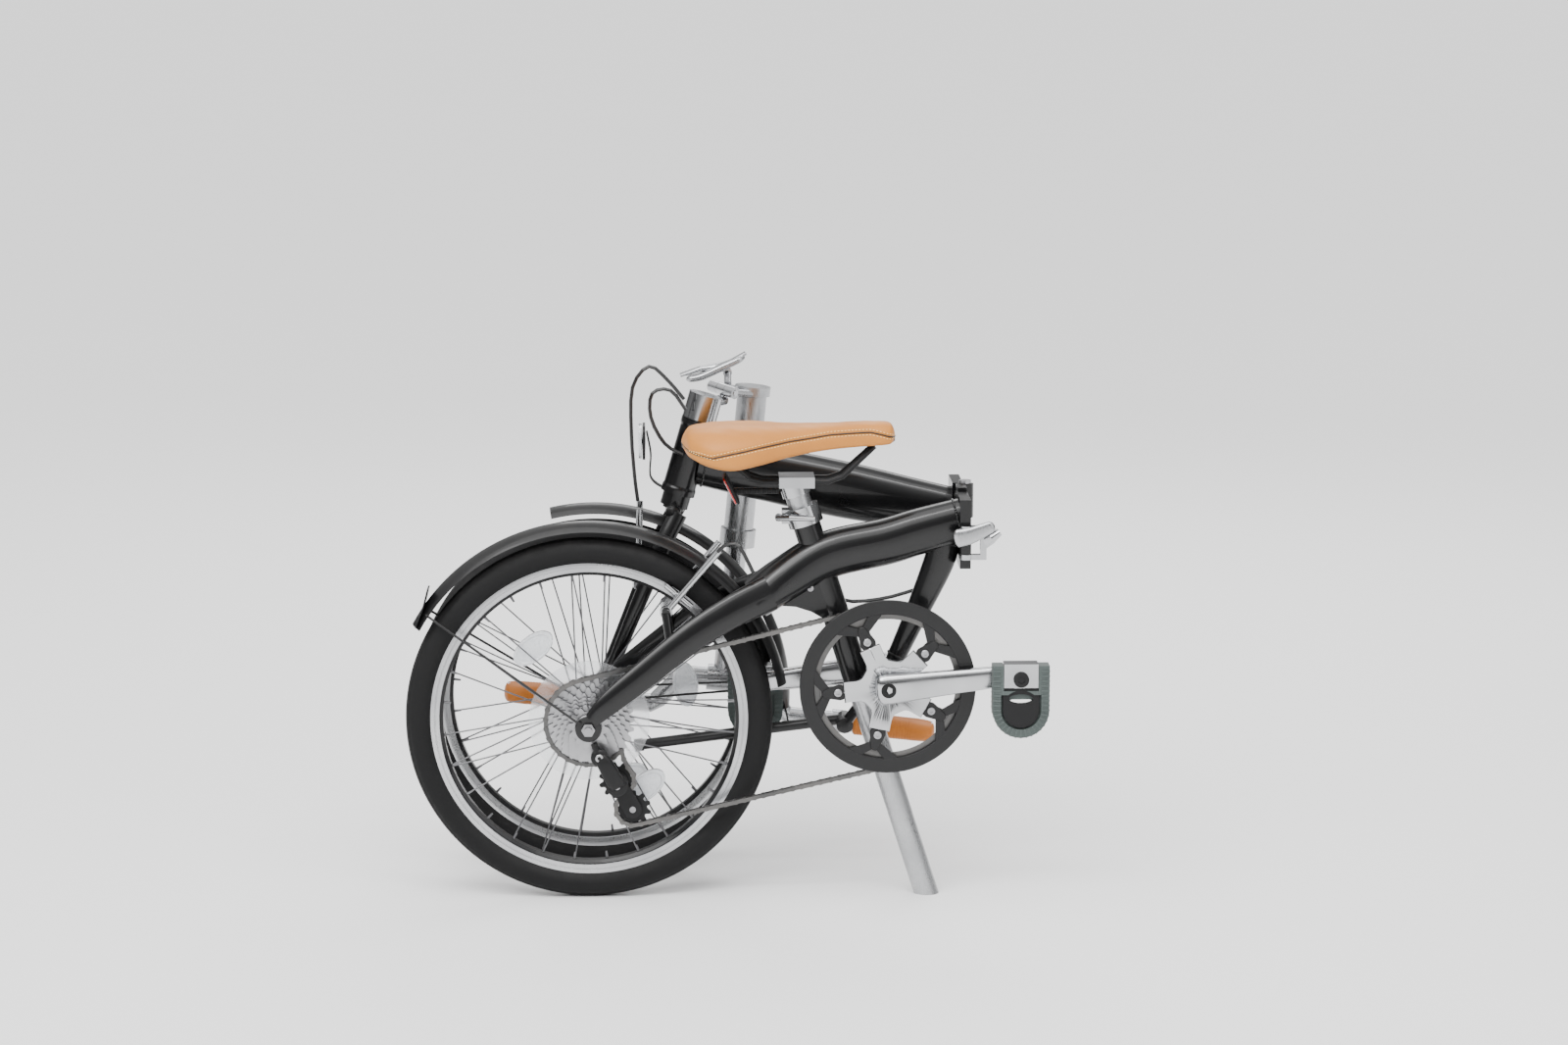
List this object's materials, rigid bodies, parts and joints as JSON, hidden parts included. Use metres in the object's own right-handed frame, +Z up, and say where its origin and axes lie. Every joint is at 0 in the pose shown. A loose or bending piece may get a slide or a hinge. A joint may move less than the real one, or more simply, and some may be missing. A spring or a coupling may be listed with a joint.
{
  "type": "folding bicycle",
  "caption": "Folding bicycle stored folded: hinged frame, folding handlepost and pedals, telescoping mast and seatpost, chain drive and rim brakes.",
  "frame": {"origin": "on the ground under the middle of the folded bicycle's box", "axes": "+X from the rear axle towards the frame hinge, +Y from the rear half towards the folded front half, +Z up"},
  "size_m": [0.8334, 0.352, 0.6915],
  "materials": {
    "frame_black": "gloss black paint",
    "silver": "brushed and polished",
    "steel": "plain steel",
    "tyre_rubber": "smooth slick tread",
    "black_plastic": "fine matte grain",
    "pedal_tread": "ribbed",
    "saddle_cover": "smooth tan with stitched seams",
    "grip_tan": "soft tan",
    "reflector_red": "red prisms",
    "cable_black": "satin sheath",
    "chain_steel": "dark oiled steel"
  },
  "bodies": {
    "rear_frame": {"rear_beam": "frame_black", "right_stay": "frame_black", "left_stay": "frame_black", "seat_tube": "frame_black", "bottom_bracket_shell": "frame_black", "hinge_strut": "frame_black", "rear_hinge_plate": "frame_black", "main_hinge_pin": "steel", "seat_collar": "silver", "rear_fender": "black_plastic", "rear_axle": "steel", "derailleur": "black_plastic", "chain": "chain_steel", "rear_cables": "cable_black"},
    "seat": {"seatpost": "silver", "saddle_clamp": "silver", "saddle": "saddle_cover", "saddle_rails": "black_plastic", "tail_reflector": "reflector_red"},
    "seat_lever": {"seat_clamp_lever": "silver"},
    "rear_wheel": {"rear_tyre": "tyre_rubber", "rear_rim": "silver", "rear_spokes": "steel", "rear_hub": "silver"},
    "cassette_body": {"cassette": "silver"},
    "crankset": {"crank_axle": "steel", "right_crank": "silver", "chainring": "frame_black", "chain_guard": "frame_black", "left_crank": "silver"},
    "right_block": {"right_pedal_block": "silver"},
    "right_platform": {"right_pedal": "pedal_tread"},
    "left_block": {"left_pedal_block": "silver"},
    "left_platform": {"left_pedal": "pedal_tread"},
    "guide_wheel": {"guide_pulley": "black_plastic"},
    "tension_wheel": {"tension_pulley": "black_plastic"},
    "kickstand": {"kickstand_leg": "frame_black"},
    "rear_brake_right": {"rear_brake_right_arm": "silver"},
    "rear_brake_left": {"rear_brake_left_arm": "silver"},
    "frame_latch": {"frame_latch_lever": "silver"},
    "front_frame": {"front_beam": "frame_black", "head_tube": "frame_black", "front_hinge_plate": "frame_black"},
    "steering_fork": {"fork": "frame_black", "post_hinge_base": "silver", "front_fender": "black_plastic", "front_cables": "cable_black"},
    "front_brake_near": {"front_brake_near_arm": "silver"},
    "front_brake_far": {"front_brake_far_arm": "silver"},
    "front_wheel": {"front_tyre": "tyre_rubber", "front_rim": "silver", "front_spokes": "steel", "front_hub": "silver"},
    "post": {"handlepost": "silver"},
    "post_latch": {"post_latch_lever": "silver"},
    "bar_mast": {"mast": "silver", "handlebar": "silver", "grips": "grip_tan"},
    "front_lever": {"front_brake_lever": "black_plastic"},
    "rear_lever": {"rear_brake_lever": "black_plastic"}
  },
  "joints": [
    {"name": "main_fold", "type": "hinge", "parent": "rear_frame", "child": "front_frame", "pos_m": [0.319, -0.003, 0.487], "axis": [0, 0, -1], "range_deg": [0, 180]},
    {"name": "steering", "type": "hinge", "parent": "front_frame", "child": "steering_fork", "pos_m": [-0.02119, 0.067, 0.648], "axis": [0.2807, 0, 0.9598], "range_deg": [-3, 3]},
    {"name": "front_wheel_spin", "type": "hinge", "parent": "steering_fork", "child": "front_wheel", "pos_m": [-0.172, 0.067, 0.24], "axis": [0, 1, 0], "continuous": true},
    {"name": "handlepost_fold", "type": "hinge", "parent": "steering_fork", "child": "post", "pos_m": [0.00181, 0.107, 0.648], "axis": [0.6953, -0.7056, -0.1364], "range_deg": [0, 172.65]},
    {"name": "post_latch", "type": "hinge", "parent": "post", "child": "post_latch", "pos_m": [0.00831, 0.169, 0.663], "axis": [0, 1, 0], "range_deg": [0, 30]},
    {"name": "mast_slide", "type": "slide", "parent": "post", "child": "bar_mast", "axis": [-0.1028, 0, -0.9947], "range_m": [0, 0.1]},
    {"name": "front_brake_pull", "type": "hinge", "parent": "bar_mast", "child": "front_lever", "pos_m": [0.15625, 0.14908, 0.18714], "axis": [-0.1028, 0, -0.9947], "range_deg": [0, 9], "stiffness_Nm_per_rad": 1},
    {"name": "rear_brake_pull", "type": "hinge", "parent": "bar_mast", "child": "rear_lever", "pos_m": [-0.16404, 0.14908, 0.22024], "axis": [0.1028, 0, 0.9947], "range_deg": [0, 9], "stiffness_Nm_per_rad": 1},
    {"name": "front_brake_near", "type": "hinge", "parent": "steering_fork", "child": "front_brake_near", "pos_m": [-0.113, 0.035, 0.398], "axis": [-0.9998, 0, 0.02], "range_deg": [0, 2.25]},
    {"name": "front_brake_far", "type": "hinge", "parent": "steering_fork", "child": "front_brake_far", "pos_m": [-0.113, 0.099, 0.398], "axis": [0.9998, 0, -0.02], "range_deg": [0, 2.25]},
    {"name": "rear_brake_right", "type": "hinge", "parent": "rear_frame", "child": "rear_brake_right", "pos_m": [-0.076, -0.103, 0.386], "axis": [-0.7567, 0, 0.6537], "range_deg": [0, 1.8]},
    {"name": "rear_brake_left", "type": "hinge", "parent": "rear_frame", "child": "rear_brake_left", "pos_m": [-0.076, -0.043, 0.386], "axis": [0.7567, 0, -0.6537], "range_deg": [0, 1.8]},
    {"name": "rear_wheel_spin", "type": "hinge", "parent": "rear_frame", "child": "rear_wheel", "pos_m": [-0.177, -0.073, 0.24], "axis": [0, 1, 0], "continuous": true},
    {"name": "cassette_spin", "type": "hinge", "parent": "rear_frame", "child": "cassette_body", "pos_m": [-0.177, -0.073, 0.24], "axis": [0, 1, 0], "continuous": true},
    {"name": "crank_spin", "type": "hinge", "parent": "rear_frame", "child": "crankset", "pos_m": [0.211, -0.073, 0.29], "axis": [0, 1, 0], "continuous": true},
    {"name": "guide_pulley_spin", "type": "hinge", "parent": "rear_frame", "child": "guide_wheel", "pos_m": [-0.141, -0.1, 0.162], "axis": [0, 1, 0], "continuous": true},
    {"name": "tension_pulley_spin", "type": "hinge", "parent": "rear_frame", "child": "tension_wheel", "pos_m": [-0.121, -0.1, 0.124], "axis": [0, 1, 0], "continuous": true},
    {"name": "right_pedal_spin", "type": "hinge", "parent": "crankset", "child": "right_block", "pos_m": [0.37994, -0.073, 0.30895], "axis": [0, 1, 0], "continuous": true},
    {"name": "left_pedal_spin", "type": "hinge", "parent": "crankset", "child": "left_block", "pos_m": [0.04206, -0.073, 0.27105], "axis": [0, 1, 0], "continuous": true},
    {"name": "right_pedal_fold", "type": "hinge", "parent": "right_block", "child": "right_platform", "pos_m": [0.37994, -0.163, 0.32095], "axis": [-1, 0, 0], "range_deg": [0, 90]},
    {"name": "left_pedal_fold", "type": "hinge", "parent": "left_block", "child": "left_platform", "pos_m": [0.04206, 0.017, 0.28305], "axis": [1, 0, 0], "range_deg": [0, 90]},
    {"name": "kickstand_fold", "type": "hinge", "parent": "rear_frame", "child": "kickstand", "pos_m": [0.159, -0.037, 0.224], "axis": [0, -0.97, -0.2431], "range_deg": [0, 95]},
    {"name": "seat_lever", "type": "hinge", "parent": "rear_frame", "child": "seat_lever", "pos_m": [0.07066, -0.073, 0.507], "axis": [0, 1, 0], "range_deg": [0, 120]},
    {"name": "frame_latch", "type": "hinge", "parent": "rear_frame", "child": "frame_latch", "pos_m": [0.312, -0.117, 0.487], "axis": [0, 0, -1], "range_deg": [0, 90]},
    {"name": "seat_slide", "type": "slide", "parent": "rear_frame", "child": "seat", "axis": [-0.3057, 0, 0.9521], "range_m": [0, 0.24]}
  ],
  "couplings": [
    {"joint": "cassette_spin", "follows": "crank_spin", "ratio": 1.8571},
    {"joint": "guide_pulley_spin", "follows": "crank_spin", "ratio": -4.7273},
    {"joint": "tension_pulley_spin", "follows": "crank_spin", "ratio": 4.7273},
    {"joint": "left_pedal_fold", "follows": "main_fold", "ratio": 0.5},
    {"joint": "rear_brake_right", "follows": "rear_brake_pull", "ratio": 0.2},
    {"joint": "rear_brake_left", "follows": "rear_brake_pull", "ratio": 0.2},
    {"joint": "front_brake_near", "follows": "front_brake_pull", "ratio": 0.25},
    {"joint": "front_brake_far", "follows": "front_brake_pull", "ratio": 0.25}
  ]
}
